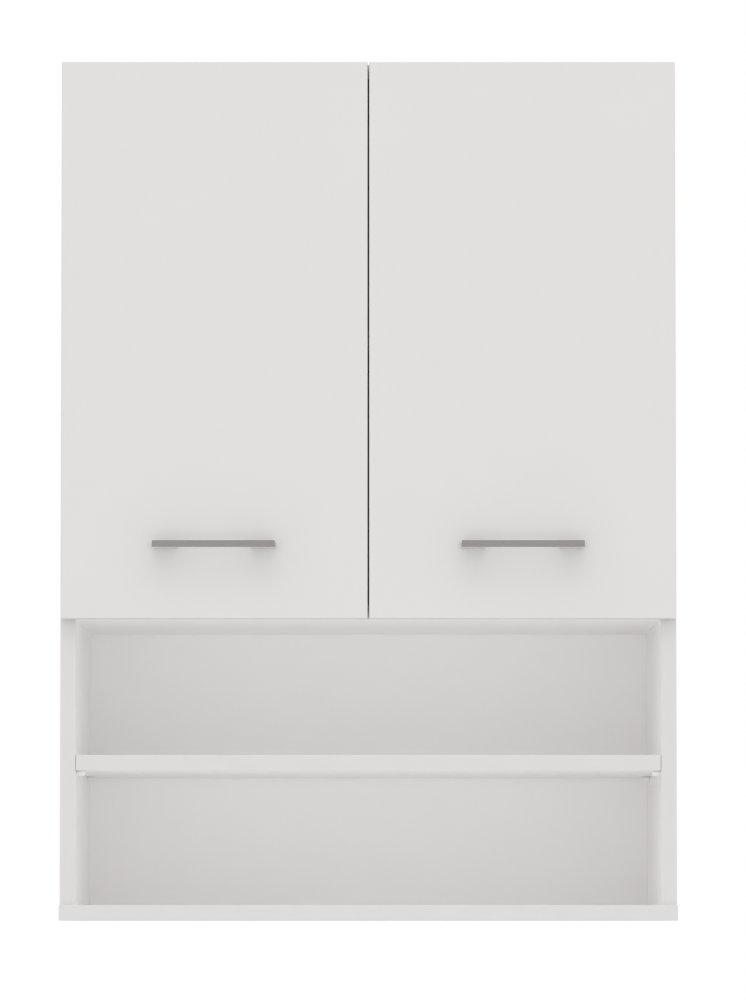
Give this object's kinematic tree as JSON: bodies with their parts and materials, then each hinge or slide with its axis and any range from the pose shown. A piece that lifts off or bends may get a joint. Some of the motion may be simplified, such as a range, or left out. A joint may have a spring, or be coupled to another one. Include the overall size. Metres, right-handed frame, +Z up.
{
  "type": "wall cabinet",
  "caption": "White wall-hung cabinet: doors with bar handles over open compartments, loose shelves on pins, cup hinges and adjustable hangers.",
  "frame": {"origin": "middle of the bottom panel's rear edge, on the wall plane", "axes": "+X to the right seen from the front, +Y towards the wall, +Z up"},
  "size_m": [0.6, 0.347, 0.837],
  "materials": {
    "melamine": "white satin melamine on chipboard",
    "back_board": "thin fibreboard, lacquered white in front",
    "handle_metal": "satin grey",
    "nickel_steel": "nickel plated",
    "zinc_steel": "zinc plated",
    "pin_plastic": "white satin",
    "clear_plastic": "soft and clear",
    "hanger_plastic": "white satin"
  },
  "bodies": {
    "cabinet": {"side_panel_left": "melamine", "side_panel_right": "melamine", "bottom_panel": "melamine", "top_panel": "melamine", "divider_panel": "melamine", "back_panel": "back_board", "open_shelf_pin_front_left": "pin_plastic", "open_shelf_pin_front_right": "pin_plastic", "open_shelf_pin_rear_left": "pin_plastic", "open_shelf_pin_rear_right": "pin_plastic", "interior_shelf_pin_front_left": "pin_plastic", "interior_shelf_pin_front_right": "pin_plastic", "interior_shelf_pin_rear_left": "pin_plastic", "interior_shelf_pin_rear_right": "pin_plastic", "bottom_screw_rear_left": "zinc_steel", "bottom_screw_rear_right": "zinc_steel", "bottom_screw_front_left": "zinc_steel", "bottom_screw_front_right": "zinc_steel", "top_screw_rear_left": "zinc_steel", "top_screw_rear_right": "zinc_steel", "top_screw_front_left": "zinc_steel", "top_screw_front_right": "zinc_steel", "cam_lock_rear_left": "zinc_steel", "cam_lock_rear_right": "zinc_steel", "cam_lock_front_left": "zinc_steel", "cam_lock_front_right": "zinc_steel", "cam_bolt_rear_left": "zinc_steel", "cam_bolt_rear_right": "zinc_steel", "cam_bolt_front_left": "zinc_steel", "cam_bolt_front_right": "zinc_steel", "hinge_plate_lower_left": "nickel_steel", "hinge_plate_lower_right": "nickel_steel", "hinge_plate_upper_left": "nickel_steel", "hinge_plate_upper_right": "nickel_steel", "hinge_arm_lower_left": "nickel_steel", "hinge_arm_lower_right": "nickel_steel", "hinge_arm_upper_left": "nickel_steel", "hinge_arm_upper_right": "nickel_steel", "hanger_housing_left": "hanger_plastic", "hanger_housing_right": "hanger_plastic", "hanger_hook_left": "zinc_steel", "hanger_hook_right": "zinc_steel"},
    "loose_open_shelf": {"open_shelf": "melamine"},
    "loose_interior_shelf": {"interior_shelf": "melamine"},
    "left_door": {"door_left": "melamine", "handle_left": "handle_metal", "handle_screw_inner_left": "zinc_steel", "handle_screw_outer_left": "zinc_steel", "hinge_cup_lower_left": "nickel_steel", "hinge_cup_upper_left": "nickel_steel", "door_bumper_lower_left": "clear_plastic", "door_bumper_upper_left": "clear_plastic"},
    "right_door": {"door_right": "melamine", "handle_right": "handle_metal", "handle_screw_inner_right": "zinc_steel", "handle_screw_outer_right": "zinc_steel", "hinge_cup_lower_right": "nickel_steel", "hinge_cup_upper_right": "nickel_steel", "door_bumper_lower_right": "clear_plastic", "door_bumper_upper_right": "clear_plastic"}
  },
  "joints": [
    {"name": "door_left_swing", "type": "hinge", "parent": "cabinet", "child": "left_door", "pos_m": [-0.2925, -0.314, 0], "axis": [0, 0, -1], "range_deg": [0, 110]},
    {"name": "door_right_swing", "type": "hinge", "parent": "cabinet", "child": "right_door", "pos_m": [0.2925, -0.314, 0], "axis": [0, 0, 1], "range_deg": [0, 110]},
    {"name": "open_shelf_slide", "type": "slide", "parent": "cabinet", "child": "loose_open_shelf", "axis": [0, -1, 0], "range_m": [0, 0.28]},
    {"name": "interior_shelf_lift", "type": "slide", "parent": "cabinet", "child": "loose_interior_shelf", "axis": [0, 0, 1], "range_m": [0, 0.02]}
  ]
}
